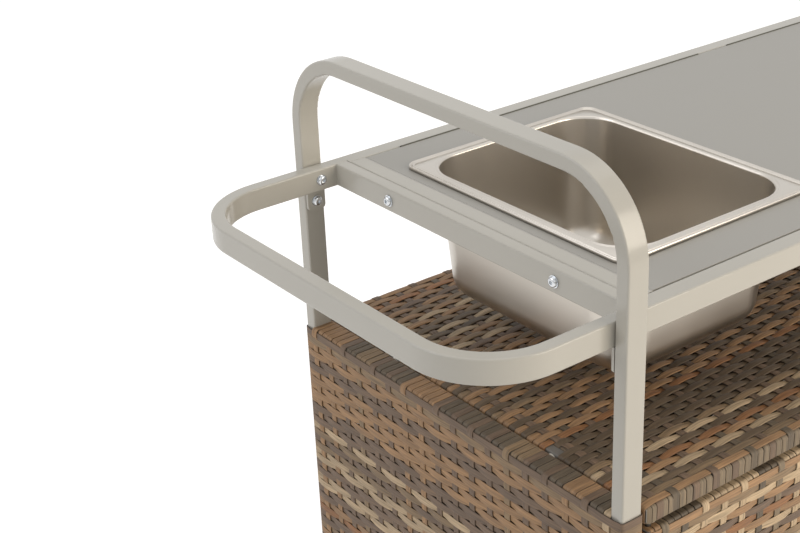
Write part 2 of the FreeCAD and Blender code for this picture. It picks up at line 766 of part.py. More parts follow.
def make_caster(name, x, y):
    """A fork with its axle, and a wheel of hub and tyre that trails towards the cart's right end."""
    axle_x = x + caster_trail
    inner = hub_boss_width / 2 + fork_side_gap
    outer = inner + fork_steel
    bridge = cylinder(V(x, y, fork_bottom), Z_AXIS, fork_seat_radius, fork_steel)
    bridge = bridge.fuse(block((x, axle_x), (y - outer, y + outer), (fork_bottom, fork_top)))
    for side in (-1, 1):
        cheek_y = y + inner if side > 0 else y - outer
        eye = V(axle_x, cheek_y, wheel_radius)
        profile = Part.makePolygon([
            V(x - fork_eye_radius, cheek_y, fork_top), V(axle_x, cheek_y, fork_top),
            eye + X_AXIS * fork_eye_radius, eye - X_AXIS * fork_eye_radius,
            V(x - fork_eye_radius, cheek_y, fork_top)])
        bridge = bridge.fuse(Part.Face(profile).extrude(Y_AXIS * fork_steel))
        bridge = bridge.fuse(cylinder(eye, Y_AXIS, fork_eye_radius, fork_steel))
    bridge = bridge.cut(cylinder(
        V(x, y, fork_bottom), Z_AXIS, kingpin_radius + kingpin_clearance, fork_steel))
    centre = V(axle_x, y, wheel_radius)

    def disc(radius, width):
        """A cylinder about the axle, midway between the cheeks."""
        return cylinder(centre - Y_AXIS * (width / 2), Y_AXIS, radius, width)

    axle = disc(axle_radius, 2 * outer)
    add(name + "_fork", bridge.cut(axle).removeSplitter())
    for outward in (Y_AXIS, Y_AXIS * -1):
        axle = axle.fuse(cylinder(centre + outward * outer, outward, axle_head_radius, axle_head))
    add(name + "_axle", axle.removeSplitter())
    hub = disc(hub_radius, hub_width).fuse(disc(hub_boss_radius, hub_boss_width))
    hub = hub.cut(disc(axle_radius + axle_clearance, hub_boss_width))
    add(name + "_hub", hub.removeSplitter())
    tread = disc(wheel_radius, tyre_width)
    tread = tread.makeFillet(tyre_edge, [e for e in tread.Edges if e.Closed])
    add(name + "_tyre", tread.cut(disc(hub_radius, tyre_width)))


def build():
    for side, x, outward in (("left", 0.0, -1), ("right", right_hoop_x, 1)):
        make_hoop(side + "_hoop", x)
        make_end_rails(x)
        make_end_weave(side + "_end_weave", x, outward)
    make_handle()
    make_tray_rails()
    make_worktop()
    make_pan()
    make_tabs()
    make_beam_bolts()
    make_shelf()
    make_shelf_bolts()
    make_base()
    make_door("left_door", (door_left, left_door_edge), door_left + hinge_inset,
              left_door_edge - hinge_inset, (left_door_edge - strike_width, left_door_edge))
    make_door("right_door", (right_door_edge, door_right), door_right - hinge_inset,
              right_door_edge + hinge_inset, (right_door_edge, right_door_edge + strike_width))
    make_catch()
    make_back()
    for name, x, y, along, side in caster_corners():
        make_corner(x, y, along, side)
        make_caster(name, x, y)


def export():
    os.makedirs("parts", exist_ok=True)
    for node, solids in parts.items():
        shape = solids[0] if len(solids) == 1 else Part.makeCompound(solids)
        shape.translate(origin * -1)
        shape.exportStep("parts/" + node + ".step")


build()
export()
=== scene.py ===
import math
import random

import bpy
import numpy as np
from bpy.props import FloatProperty, FloatVectorProperty, PointerProperty
from mathutils import Matrix, Vector


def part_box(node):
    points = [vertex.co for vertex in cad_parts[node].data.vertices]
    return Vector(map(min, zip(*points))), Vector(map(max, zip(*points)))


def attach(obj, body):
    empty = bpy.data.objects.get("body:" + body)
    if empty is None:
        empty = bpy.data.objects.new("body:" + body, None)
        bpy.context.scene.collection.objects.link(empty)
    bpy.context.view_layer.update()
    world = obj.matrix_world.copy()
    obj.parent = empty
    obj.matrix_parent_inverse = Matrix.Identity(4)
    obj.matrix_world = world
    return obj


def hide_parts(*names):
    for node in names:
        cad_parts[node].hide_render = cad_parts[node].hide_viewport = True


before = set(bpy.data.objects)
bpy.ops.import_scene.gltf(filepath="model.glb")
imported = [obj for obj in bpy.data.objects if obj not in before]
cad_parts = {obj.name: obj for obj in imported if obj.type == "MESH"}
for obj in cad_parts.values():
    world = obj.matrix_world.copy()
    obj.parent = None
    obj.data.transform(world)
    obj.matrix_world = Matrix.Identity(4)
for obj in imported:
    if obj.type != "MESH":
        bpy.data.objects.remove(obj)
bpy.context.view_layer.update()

bl_info = {
    "name": "Rattan bar cart",
    "version": (1, 0, 0),
    "blender": (4, 5, 0),
    "location": "View3D > Sidebar > Bar cart",
    "description": "Dresses the bar cart with woven rattan, painted steel and a stainless ice pan",
    "category": "Object",
}

MM = 0.001
WHITE = (1.0, 1.0, 1.0, 1.0)

# Materials that are looked up again by name
RATTAN = "Extruded resin rattan"
SHEET_PAINT = "Powder-coated sheet steel"


# Settings

def linear(hex_colour):
    """An sRGB hex colour as linear red, green, blue and alpha."""
    shares = [int(hex_colour[i:i + 2], 16) / 255 for i in (1, 3, 5)]
    return tuple(c / 12.92 if c <= 0.04045 else ((c + 0.055) / 1.055) ** 2.4 for c in shares) + (1.0,)


def colour_setting(name, description, hex_colour):
    return FloatVectorProperty(
        name=name, description=description, default=linear(hex_colour),
        subtype="COLOR", size=4, min=0, max=1)


def length_setting(name, description, millimetres):
    return FloatProperty(
        name=name, description=description, default=millimetres * MM, min=0, unit="LENGTH", precision=4)


def share_setting(name, description, share):
    return FloatProperty(name=name, description=description, default=share, min=0, max=1, subtype="FACTOR")


def power_setting(name, description, watts):
    return FloatProperty(name=name, description=description, default=watts, min=0, unit="POWER")


class BARCART_PG_weave(bpy.types.PropertyGroup):
    """Sizes and colours of the woven strands."""

    strand_width: length_setting("Strand width", "Width of one flat strand", 8.9)
    strand_thickness: length_setting("Strand thickness", "Thickness of one flat strand", 1.5)
    panel_row_pitch: length_setting("Panel row pitch", "Distance between an upright panel's rows", 8.65)
    shelf_row_pitch: length_setting("Shelf row pitch", "Distance between the shelf's rows", 8.9)
    stake_pitch: length_setting("Stake pitch", "Distance between the stakes that the rows pass over", 26.6)
    panel_bulge: length_setting("Panel bulge", "How far an upright panel's rows swing out and in", 0.85)
    panel_pinch: share_setting("Panel pinch", "How much an upright panel's rows narrow behind a stake", 0.26)
    back_bulge: length_setting("Back bulge", "How far the closer back panel's rows swing out and in", 0.45)
    shelf_bulge: length_setting("Shelf bulge", "How far the shelf's rows swing up and down", 1.25)
    shelf_pinch: share_setting("Shelf pinch", "How much the shelf's rows narrow under a stake", 0.1)
    spread: share_setting("Spread", "How much a row widens in front of a stake", 0.05)
    grey: colour_setting("Grey", "Weathered grey strand", "#6C5846")
    dark: colour_setting("Dark grey", "Dark grey-brown strand", "#5F5241")
    stone: colour_setting("Stone", "Light grey strand", "#7B6B55")
    khaki: colour_setting("Khaki", "Dull grey-green strand", "#5D4D3A")
    tan: colour_setting("Tan", "Tan strand", "#967553")
    amber: colour_setting("Amber", "Orange-brown strand", "#906540")
    cream: colour_setting("Cream", "Pale straw strand", "#B29B7C")
    olive: colour_setting("Olive", "Dull straw strand", "#816B50")


class BARCART_PG_finish(bpy.types.PropertyGroup):
    """Colours of the steel and plastic parts."""

    paint: colour_setting("Tube paint", "Powder coat on the hoops, handle and tray", "#B1ADA3")
    worktop: colour_setting("Worktop paint", "Powder coat on the inset worktop", "#9B9891")
    wrapped: colour_setting("Wrapped tube", "Paint on the tubes inside the weave", "#6E6A64")
    stainless: colour_setting("Stainless", "Pressed stainless pan", "#C6C0B7")
    zinc: colour_setting("Bright zinc", "Plated bolts, washers and knobs", "#CDD0D3")
    caster_zinc: colour_setting("Caster zinc", "Plated caster steel", "#B5B7B8")
    phosphate: colour_setting("Phosphate", "Dark phosphated door pivots", "#5A5650")
    nylon: colour_setting("Nylon", "Spacers", "#D6D3CA")
    plastic: colour_setting("Cap plastic", "Tube caps and door catch", "#A9A59B")
    rubber: colour_setting("Tyre rubber", "Caster tyres", "#4A4A4B")
    hub: colour_setting("Hub plastic", "Caster hubs", "#8C8B88")
    # The bead's dark colour is partly the sealant's own and partly painted shade in the joint
    sealant_and_shade: colour_setting("Sealant and joint shade", "Bead behind the worktop", "#4E4C3F")


class BARCART_PG_stage(bpy.types.PropertyGroup):
    """The floor and the studio light."""

    floor: colour_setting("Floor", "Pale studio floor", "#F1F0EE")
    glow: share_setting("Floor glow", "White added to the floor where it is seen", 0.5)
    ambient: share_setting("Ambient", "Strength of the even studio light", 0.55)
    key: power_setting("Key", "Power of the front soft box", 55)
    top: power_setting("Top", "Power of the overhead soft box", 9)
    side: power_setting("Side", "Power of the left soft box", 19)


# Materials

def feed(tree, node, inputs):
    """Give each named input a value, or a link from a socket or from another node's first output."""
    sockets = {socket.identifier: socket for socket in node.inputs}
    for name, value in inputs.items():
        socket = sockets.get(name) or node.inputs[name]
        if isinstance(value, bpy.types.Node):
            value = next(output for output in value.outputs if output.enabled)
        if isinstance(value, bpy.types.NodeSocket):
            tree.links.new(value, socket)
        else:
            socket.default_value = value


def add_node(tree, kind, inputs=None, **settings):
    """Add a node with its settings and links."""
    made = tree.nodes.new(kind)
    for name, value in settings.items():
        setattr(made, name, value)
    feed(tree, made, inputs or {})
    return made


def new_material(name, sockets):
    """A material with one Principled shader, whose even values are set on its own sockets."""
    made = bpy.data.materials.new(name)
    made.use_nodes = True
    shader = made.node_tree.nodes["Principled BSDF"]
    feed(made.node_tree, shader, sockets)
    return made, made.node_tree, shader


def clouded(tree, colour, low, high, size, detail=2.0):
    """The place on the object, a soft cloud of a size there, and the colour's shades that follow it."""
    place = add_node(tree, "ShaderNodeTexCoord").outputs["Object"]
    cloud = add_node(tree, "ShaderNodeTexNoise", {"Vector": place, "Scale": 1 / size, "Detail": detail})
    dark, light = (tuple(min(c * share, 1.0) for c in colour[:3]) + (1.0,) for share in (low, high))
    tone = add_node(tree, "ShaderNodeMix", {"Factor_Float": cloud, "A_Color": dark, "B_Color": light},
                    data_type="RGBA")
    return place, cloud, tone


def powder_coat(name, colour, roughness):
    """Powder-coated steel, baked to an even semi-gloss film with a faint orange peel."""
    made, tree, shader = new_material(name, {"Metallic": 0.0, "IOR": 1.5})
    # The film thickens and thins over about a hand's width, which shades it very slightly
    place, cloud, tone = clouded(tree, colour, 0.965, 1.03, 90 * MM)
    # Orange peel is about 2 mm across
    peel = add_node(tree, "ShaderNodeTexNoise", {"Vector": place, "Scale": 1 / (2.2 * MM), "Detail": 1.0})
    bump = add_node(tree, "ShaderNodeBump", {"Height": peel, "Strength": 0.12, "Distance": 0.1 * MM})
    gloss = add_node(tree, "ShaderNodeMapRange", {
        "Value": cloud, "To Min": roughness - 0.05, "To Max": roughness + 0.05})
    feed(tree, shader, {"Base Color": tone, "Roughness": gloss, "Normal": bump})
    return made


def plated_steel(name, colour, roughness):
    """Zinc-plated steel: a bright metal skin with faint cloudy patches from the bath."""
    made, tree, shader = new_material(name, {"Metallic": 1.0})
    # The patches are about 6 mm across
    _, cloud, tone = clouded(tree, colour, 0.88, 1.05, 6 * MM, detail=3.0)
    gloss = add_node(tree, "ShaderNodeMapRange", {
        "Value": cloud, "To Min": roughness - 0.06, "To Max": roughness + 0.08})
    feed(tree, shader, {"Base Color": tone, "Roughness": gloss})
    return made


def pressed_stainless(colour):
    """Deep-drawn stainless sheet: satin, a shade duller where the press stretched it."""
    made, tree, shader = new_material("Deep-drawn stainless steel", {"Metallic": 1.0})
    # The dull patches are about 60 mm across
    _, cloud, tone = clouded(tree, colour, 0.95, 1.03, 60 * MM, detail=1.0)
    gloss = add_node(tree, "ShaderNodeMapRange", {"Value": cloud, "To Min": 0.28, "To Max": 0.33})
    feed(tree, shader, {"Base Color": tone, "Roughness": gloss})
    return made


def moulded(name, colour, roughness, grain_mm):
    """Injection-moulded plastic or rubber, dull with a fine spark-eroded grain."""
    made, tree, shader = new_material(name, {"Metallic": 0.0, "IOR": 1.5})
    _, grain, tone = clouded(tree, colour, 0.9, 1.08, grain_mm * MM)
    gloss = add_node(tree, "ShaderNodeMapRange", {
        "Value": grain, "To Min": roughness - 0.08, "To Max": roughness + 0.08})
    bump = add_node(tree, "ShaderNodeBump", {"Height": grain, "Strength": 0.2, "Distance": 0.1 * MM})
    feed(tree, shader, {"Base Color": tone, "Roughness": gloss, "Normal": bump})
    return made


def resin_rattan():
    """Extruded polyethylene strand, ribbed lengthwise, with streaks of two mixed shades along it."""
    made, tree, shader = new_material(RATTAN, {"Metallic": 0.0, "IOR": 1.51})
    # The strand's colour, darkened at its edges and back by painted shade
    tone = add_node(tree, "ShaderNodeAttribute", attribute_name="strand_tone")
    along = add_node(tree, "ShaderNodeAttribute", attribute_name="strand_along").outputs["Fac"]
    across = add_node(tree, "ShaderNodeAttribute", attribute_name="strand_across").outputs["Fac"]
    # Streaks are about 1.8 mm wide and 45 mm long
    wide = add_node(tree, "ShaderNodeMath", {"Value": across, "Value_001": 1 / (1.8 * MM)},
                    operation="MULTIPLY")
    long = add_node(tree, "ShaderNodeMath", {"Value": along, "Value_001": 1 / (45 * MM)},
                    operation="MULTIPLY")
    place = add_node(tree, "ShaderNodeCombineXYZ", {"X": wide, "Y": long})
    streak = add_node(tree, "ShaderNodeTexNoise", {
        "Vector": place, "Scale": 1.0, "Detail": 3.0, "Roughness": 0.6})
    shade = add_node(tree, "ShaderNodeMapRange", {
        "Value": streak, "From Min": 0.28, "From Max": 0.72, "To Min": 0.5, "To Max": 1.34})
    colour = add_node(tree, "ShaderNodeMix", {"Factor_Float": 1.0, "A_Color": tone, "B_Color": shade},
                      data_type="RGBA", blend_type="MULTIPLY")
    # Ribs are drawn 1.2 mm apart, coarser than the real ones, so that they show
    turn = add_node(tree, "ShaderNodeMath", {"Value": across, "Value_001": 2 * math.pi / (1.2 * MM)},
                    operation="MULTIPLY")
    rib = add_node(tree, "ShaderNodeMath", {"Value": turn}, operation="SINE")
    height = add_node(tree, "ShaderNodeMath", {"Value": rib, "Value_001": streak}, operation="ADD")
    bump = add_node(tree, "ShaderNodeBump", {"Height": height, "Strength": 0.35, "Distance": 0.1 * MM})
    gloss = add_node(tree, "ShaderNodeMapRange", {"Value": streak, "To Min": 0.52, "To Max": 0.72})
    feed(tree, shader, {"Base Color": colour, "Roughness": gloss, "Normal": bump})
    return made


# Pieces

def box_mm(node):
    """A CAD node's lowest and highest corners at rest, in millimetres."""
    return [np.array(corner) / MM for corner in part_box(node)]


def dress(material, *nodes):
    """Give CAD nodes a material of their own."""
    for node in nodes:
        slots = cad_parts[node].data.materials
        slots.clear()
        slots.append(material)


def add_piece(mesh, material, body, slot, *nodes):
    """Put a mesh in the scene as a piece of its name, which rides a body and may stand for CAD nodes."""
    mesh.materials.append(material)
    piece = bpy.data.objects.new(mesh.name, mesh)
    bpy.context.scene.collection.objects.link(piece)
    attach(piece, body)
    if nodes:
        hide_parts(*nodes)


# Woven strands

# How thick the CAD draws every woven skin, and the length of strand on a reel, in millimetres
SKIN = 2.0
REEL = 9000.0

# A strand's section: shares of its width and thickness, and of its colour, which is darkened off its face,
# at its edges and back, as painted shade
CROWNED = np.array([
    (-0.5, 0.0, 0.55), (-0.45, 0.36, 0.95), (-0.28, 0.5, 1.0),
    (0.28, 0.5, 1.0), (0.45, 0.36, 0.95), (0.5, 0.0, 0.55), (0.0, -0.5, 0.6)])
FLAT = np.array([
    (-0.5, -0.1, 0.5), (-0.49, 0.3, 0.7), (-0.44, 0.46, 1.0), (-0.36, 0.5, 1.0),
    (0.36, 0.5, 1.0), (0.44, 0.46, 1.0), (0.49, 0.3, 0.7), (0.5, -0.1, 0.5), (0.0, -0.5, 0.6)])


def smooth(low, high, value):
    """0 below low, 1 above high and an even curve between."""
    share = np.clip((value - low) / (high - low), 0.0, 1.0)
    return share * share * (3 - 2 * share)


def between(a, b, share):
    return a + (b - a) * share


class Strands:
    """Flat strands gathered into one mesh, which keeps each point's colour, painted shade included, and its
    place on its strand.
    """

    def __init__(self, section):
        self.section = section
        self.points, self.faces, self.tones, self.along, self.across = [], [], [], [], []
        self.count = 0

    def lay(self, centres, outs, side, widths, thickness, tone, start, curl=0.0):
        """Add a strand along its centres, in millimetres.

        outs are its face's directions, and side its width's. A curl bends one edge back round a corner: the
        one towards side, or the other if it is negative.
        """
        corners = len(self.section)
        sides, heights, shares = self.section.T
        across = widths[:, None] * sides
        height = thickness * heights
        if curl:
            height = height - abs(curl) * np.clip(math.copysign(2, curl) * sides, 0, 1) ** 2
        points = centres[:, None, :] + across[:, :, None] * side + outs[:, None, :] * height[None, :, None]
        steps = np.linalg.norm(np.diff(centres, axis=0), axis=1)
        along = start + np.concatenate([[0.0], np.cumsum(steps)])
        here = np.arange(corners)
        there = (here + 1) % corners
        rings = self.count + np.arange(len(centres) - 1)[:, None] * corners
        following = rings + corners
        quads = np.stack([rings + here, rings + there, following + there, following + here], axis=-1)
        first = self.count
        last = self.count + (len(centres) - 1) * corners
        self.points.append(points.reshape(-1, 3))
        self.faces += quads.reshape(-1, 4).tolist()
        self.faces += [(first + here[::-1]).tolist(), (last + here).tolist()]
        # The section's colour shares paint shade onto the strand's edges and back
        ring_tones = np.outer(shares, tone)
        ring_tones[:, 3] = 1.0
        self.tones.append(np.tile(ring_tones, (len(centres), 1)))
        self.along.append(np.repeat(along, corners))
        self.across.append(across.ravel())
        self.count += len(centres) * corners

    def mesh(self, name):
        made = bpy.data.meshes.new(name)
        made.from_pydata((np.concatenate(self.points) * MM).tolist(), [], self.faces)
        for attribute, kind, field, values in (
                ("strand_tone", "FLOAT_COLOR", "color", np.concatenate(self.tones)),
                ("strand_along", "FLOAT", "value", np.concatenate(self.along) * MM),
                ("strand_across", "FLOAT", "value", np.concatenate(self.across) * MM)):
            layer = made.attributes.new(attribute, kind, "POINT")
            layer.data.foreach_set(field, values.astype(np.float32).ravel())
        made.shade_smooth()
        made.validate()
        return made


class WovenPanel:
    """A wrapped tube frame in its own axes, in millimetres: a along its rows, u up its stakes, and out."""

    # Radius of the frame's edges, a strand's middle off the tubes, and the rim's depth above the first row
    bend = 2.0
    gap = 0.8
    rim = 1.0

    # The weave's level off the tubes and its stakes' swing about it: on a tube, in the open, at the border
    level = (1.5, 0.9, 2.0)
    stake_swing = (0.75, 0.6, 1.2)

    # The rows' swing on a tube and at the border, and the stretch past a tube's inner edge where it changes
    row_swing_on_tube = 0.75
    row_swing_at_border = 0.15
    tube_stretch = (-2.0, 14.0)

    # Points of a row to each stake, of a stake to each row, and of a turn to each quarter of an edge
    row_points = 6
    stake_points = 4
    quarter_shares = (0.0, 0.25, 0.5, 0.75, 1.0)

    # Room between a row's end and its next point, and lengths over which rows and stakes leave the edges
    row_end_room = 2.0
    row_settles = 9.0
    stake_settles = 3.0

    # A power under 1 flattens a row in front of a stake. On a tube, a row hardly changes its width
    wave_power = 0.75
    width_change_on_tube = 0.15

    # Within this many rows of a bolting spot, a row starts further in and its end lies low on the tube
    spot_reach = 0.75
    spot_start = 11.0
    spot_end = (10.0, -0.6)

    # Gap of a stake that passes in front of the first row, and a stake's start where the foot isn't wrapped
    over_gap = 2.5
    unwrapped_start = 0.5

    # Strips on the rim: how much of its place one fills, which leaves a dark seam beside it, how many rows
    # it reaches down, the width of those at the ends, and how far the outer ones curl
    wrap_fill = 0.93
    wrap_reach = 0.8
    end_wrap = 7.0
    corner_curl = 3.0

    # Small differences from strand to strand: shade, swing, a row's and a stake's wander, and a strip's lean
    shade_range = (0.9, 1.1)
    swing_range = (0.85, 1.12)
    row_drift = 0.15
    stake_sway = 0.4
    sway_places = 6
    lean_middle = 0.3
    lean_spread = 0.3

    def __init__(self, node, out, up, tube, lip, rows, stakes, wraps, row_pitch, bulge, pinch,
                 margin=20.0, set_in=0.0, wraps_foot=True, bare=(), corner="", section=FLAT):
        """Read the panel's size from its CAD skin, and space its rows and stakes.

        out and up are directions. tube is the frame tubes' width beside the rows' and the stakes' ends, and
        lip how far strands reach behind. rows, stakes and wraps are colour orders, and corner is the colour
        beyond the last stakes. margin is the distance from the side at which even spacing starts, and set_in
        how much further in the outer stakes stand. bare gives the places of the bolting spots, and section
        is the rows' own. A panel whose foot isn't wrapped stands between posts, so its rim ends at them.
        """
        self.out, self.up = Vector(out), Vector(up)
        self.along = self.out.cross(self.up)
        low, high = box_mm(node)
        spans = []
        for axis in (self.along, self.up, self.out):
            ends = (np.dot(low, axis), np.dot(high, axis))
            spans.append((min(ends), max(ends)))
        (left, right), (foot, head), (back, face) = spans
        foot += SKIN if wraps_foot else 0.0
        self.width = right - left - 2 * SKIN
        self.height = head - SKIN - foot
        self.depth = face - back - 2 * SKIN
        self.origin = np.array(self.along * (left + SKIN) + self.up * foot + self.out * (face - SKIN))
        self.tube, self.lip, self.margin, self.wraps_foot, self.bare = tube, lip, margin, wraps_foot, bare
        self.row_colours, self.stake_colours, self.wrap_colours, self.corner = rows, stakes, wraps, corner
        self.section = section
        weave = bpy.context.scene.barcart_weave
        self.bulge, self.pinch, self.spread = bulge / MM, pinch, weave.spread
        self.strand = weave.strand_width / MM
        self.thickness = weave.strand_thickness / MM
        self.palette = {"g": weave.grey, "d": weave.dark, "s": weave.stone, "k": weave.khaki,
                        "t": weave.tan, "a": weave.amber, "c": weave.cream, "o": weave.olive}
        self.first_edge = self.height - self.rim
        self.last_edge = self.rim if wraps_foot else 0.0
        self.row_count = round((self.first_edge - self.last_edge) / (row_pitch / MM))
        self.row_pitch = (self.first_edge - self.last_edge) / self.row_count
        stake_count = round((self.width - 2 * self.margin) / (weave.stake_pitch / MM)) + 1
        self.stake_places = np.linspace(self.margin, self.width - self.margin, stake_count)
        self.stake_pitch = self.stake_places[1] - self.stake_places[0]
        self.stake_places[[0, -1]] += (set_in, -set_in)
        self.chance = random.Random(node)

    def tone(self, colours, place):
        """A strand's colour from its order, a little lighter or darker than its neighbours'."""
        shade = self.chance.uniform(*self.shade_range)
        colour = self.palette[colours[place % len(colours)]]
        return np.array([min(c * shade, 1.0) for c in colour[:3]] + [1.0])

    def reel_start(self):
        """Where on its reel a strand was cut, which moves its streaks."""
        return self.chance.uniform(0, REEL)

    def lie(self, a, u):
        """The weave's level, its rows' and stakes' swing, and how free of tubes it is, at given places."""
        beside = np.minimum(a, self.width - a)
        above = np.minimum(u - self.last_edge, self.first_edge - u)
        start, end = self.tube_stretch
        free = (smooth(self.tube[0] + start, self.tube[0] + end, beside)
                * smooth(self.tube[1] + start, self.tube[1] + end, above))
        border = 1 - smooth(self.row_pitch / 2, 1.5 * self.row_pitch, above)
        row_swing = (self.row_swing_on_tube, self.bulge, self.row_swing_at_border)
        level, rows, stakes = (
            between(between(on_tube, in_open, free), at_border, border)
            for on_tube, in_open, at_border in (self.level, row_swing, self.stake_swing))
        return level, rows, stakes, free

    def edge_turn(self, back_gap, front_gap):
        """A strand's points from behind the frame round an edge to its face: in from the edge, and out."""
        points = [(self.lip, -self.depth - back_gap)]
        quarters = (
            (self.bend - self.depth, 270.0, back_gap, self.gap),
            (-self.bend, 180.0, self.gap, front_gap))
        for middle, first, start_gap, end_gap in quarters:
            for share in self.quarter_shares:
                angle = math.radians(first - 90 * share)
                radius = self.bend + between(start_gap, end_gap, share)
                points.append((self.bend + radius * math.cos(angle), middle + radius * math.sin(angle)))
        return np.array(points)

    def place(self, line, other, runs_up):
        """Points of a strand's line, and its face's directions there, in the frame's axes."""
        run, across = (self.up, self.along) if runs_up else (self.along, self.up)
        run, across, out = np.array(run), np.array(across), np.array(self.out)
        slope = np.gradient(line, axis=0)
        slope /= np.linalg.norm(slope, axis=1)[:, None]
        centres = self.origin + line[:, :1] * run + line[:, 1:] * out + np.reshape(other, (-1, 1)) * across
        outs = -slope[:, 1:] * run + slope[:, :1] * out
        return centres, outs

    def lay_row(self, strands, i):
        """One row, wound behind the frame at both ends, over and under the stakes between."""
        u = self.first_edge - (i + 0.5) * self.row_pitch
        start = self.bend
        turn = self.edge_turn(self.gap, self.gap)[:-1]
        if not self.wraps_foot and u < self.tube[1]:
            # Beside the base, a row ends on the frame's outer side
            turn = turn[1 + len(self.quarter_shares):]
        if any(abs(u - spot) < self.spot_reach * self.row_pitch for spot in self.bare):
            start = self.spot_start
            turn = np.array([self.spot_end])
        step = self.stake_pitch / self.row_points
        first = start + self.row_end_room
        inner = np.arange(math.ceil((first - self.margin) / step),
                          math.floor((self.width - first - self.margin) / step) + 1)
        a = np.concatenate([[start], self.margin + step * inner, [self.width - start]])
        level, swing, _, free = self.lie(a, u)
        outside = self.margin - self.stake_pitch
        stakes = [outside, *self.stake_places, self.width - outside]
        wave = (-1) ** i * np.cos(math.pi * np.interp(a, stakes, np.arange(-1, len(stakes) - 1)))
        wave = np.sign(wave) * np.abs(wave) ** self.wave_power
        strengths = [self.chance.uniform(*self.swing_range) for _ in self.stake_places]
        out = level + swing * np.interp(a, self.stake_places, strengths) * wave
        from_end = np.minimum(a - a[0], a[-1] - a)
        out = self.gap + (out - self.gap) * smooth(0.0, self.row_settles, from_end)
        change = self.spread * np.maximum(wave, 0) + self.pinch * np.minimum(wave, 0)
        widths = self.strand * (1 + change * between(self.width_change_on_tube, 1.0, free))
        line = np.concatenate([turn, np.stack([a, out], axis=1), turn[::-1] * [-1, 1] + [self.width, 0]])
        widths = np.concatenate([np.full(len(turn), widths[0]), widths, np.full(len(turn), widths[-1])])
        drift = self.chance.gauss(0, self.row_drift)
        centres, outs = self.place(line, u + drift, False)
        strands.lay(centres, outs, np.array(self.up), widths, self.thickness,
                    self.tone(self.row_colours, i), self.reel_start())

    def lay_stake(self, strands, j):
        """One stake up the face, wound over the rim and, where the foot is wrapped, under it."""
        a = self.stake_places[j]
        # Every other stake passes in front of the first row, and so comes over the edge further out
        rim_gap, foot_gap = (self.over_gap if (j + row) % 2 else self.gap for row in (0, self.row_count - 1))
        start = self.bend if self.wraps_foot else self.unwrapped_start
        end = self.height - self.bend
        steps = round((end - start) / (self.row_pitch / self.stake_points))
        u = np.linspace(start, end, steps + 1)
        level, _, swing, _ = self.lie(np.full(len(u), a), u)
        wave = -(-1) ** j * np.cos(math.pi * (self.first_edge - 0.5 * self.row_pitch - u) / self.row_pitch)
        out = level + swing * wave
        out = rim_gap + (out - rim_gap) * smooth(0.0, self.stake_settles, end - u)
        line = np.stack([u, out], axis=1)
        back_gap = self.gap + self.thickness
        if self.wraps_foot:
            line[:, 1] = foot_gap + (out - foot_gap) * smooth(0.0, self.stake_settles, u - start)
            line = np.concatenate([self.edge_turn(back_gap, foot_gap)[:-1], line])
        top = self.edge_turn(back_gap, rim_gap)[:-1]
        line = np.concatenate([line, top[::-1] * [-1, 1] + [self.height, 0]])
        sway = [self.chance.gauss(0, self.stake_sway) for _ in range(self.sway_places)]
        wander = np.interp(line[:, 0], np.linspace(0, self.height, self.sway_places), sway)
        centres, outs = self.place(line, a + wander, True)
        strands.lay(centres, outs, -np.array(self.along), np.full(len(line), self.strand), self.thickness,
                    self.tone(self.stake_colours, j), self.reel_start())

    def strips(self):
        """The strips on the rim: place, width, curl and the bay that gives the colour."""
        found = []
        for bay, (stake, following) in enumerate(zip(self.stake_places, self.stake_places[1:])):
            wide = (following - stake) / 3
            found += [(stake + wide, wide, 0.0, bay), (stake + 2 * wide, wide, 0.0, bay)]
        if self.wraps_foot:
            # Narrower strips fill the end bays, and the outer ones curl round the corners
            end_bay = self.stake_places[0] - self.strand / 2
            count = round(end_bay / self.end_wrap)
            wide = end_bay / count
            for k in range(count):
                from_side = (k + 0.5) * wide
                curl = self.corner_curl if k == 0 else 0.0
                found += [(from_side, wide, curl, 0), (self.width - from_side, wide, -curl, bay)]
        return found

    def lay_wraps(self, strands):
        """The strips between the stakes that cover the rim and, where it is wrapped, the foot."""
        end = (self.rim + self.wrap_reach * self.row_pitch, self.gap)
        turn = np.concatenate([self.edge_turn(self.gap + self.thickness, self.gap), [end]])
        lines = [turn[::-1] * [-1, 1] + [self.height, 0]]
        if self.wraps_foot:
            lines.append(turn)
        for a, wide, curl, bay in self.strips():
            at_corner = self.corner and not self.margin < a < self.width - self.margin
            colours = self.corner if at_corner else self.wrap_colours
            for line in lines:
                lean = 0.0 if curl else self.chance.gauss(self.lean_middle, self.lean_spread)
                centres, outs = self.place(line, a + np.linspace(-lean, lean, len(line)), True)
                strands.lay(centres, outs, -np.array(self.along), np.full(len(line), wide * self.wrap_fill),
                            self.thickness, self.tone(colours, bay), self.reel_start(), curl)

    def weave(self, name, body, node):
        """Both sets of strands as pieces that stand for the panel's CAD skin."""
        material = bpy.data.materials.get(RATTAN) or resin_rattan()
        rows = Strands(self.section)
        for i in range(self.row_count):
            self.lay_row(rows, i)
        add_piece(rows.mesh(name + "_rows"), material, body, "rattan", node)
        stakes = Strands(FLAT)
        for j in range(len(self.stake_places)):
            self.lay_stake(stakes, j)
        self.lay_wraps(stakes)
        add_piece(stakes.mesh(name + "_stakes"), material, body, "rattan", node)


# Colour orders of rows from the rim down and of stakes, as letters of the palette
END_ROWS = "gottggtttttgggcogoccggccggtaggotggcgttoggatggccgtgoggctgg"
END_STAKES = "cgtggoggggttggogtt"
END_WRAPS = "dtddoddddttddodtt"
SHELF_ROWS = "tokctakcokkkkkkattktkttoktkttoktkttotgcotckckotctotgtatt"
SHELF_STAKES = "gdgggd"
SHELF_WRAPS = "s"
DOOR_ROWS = "toctgatcgtocgtaggcttgcogtgatcggtotcgaggtocgtgcatggoctgg"
DOOR_STAKES = "sccdsccdcsdcccds"
DOOR_WRAPS = "tccddccdcdcccdd"
BACK_ROWS = "gtcgtaggotcggtogcattgggcogtggatcgotgggtcatggogtcgtagg"

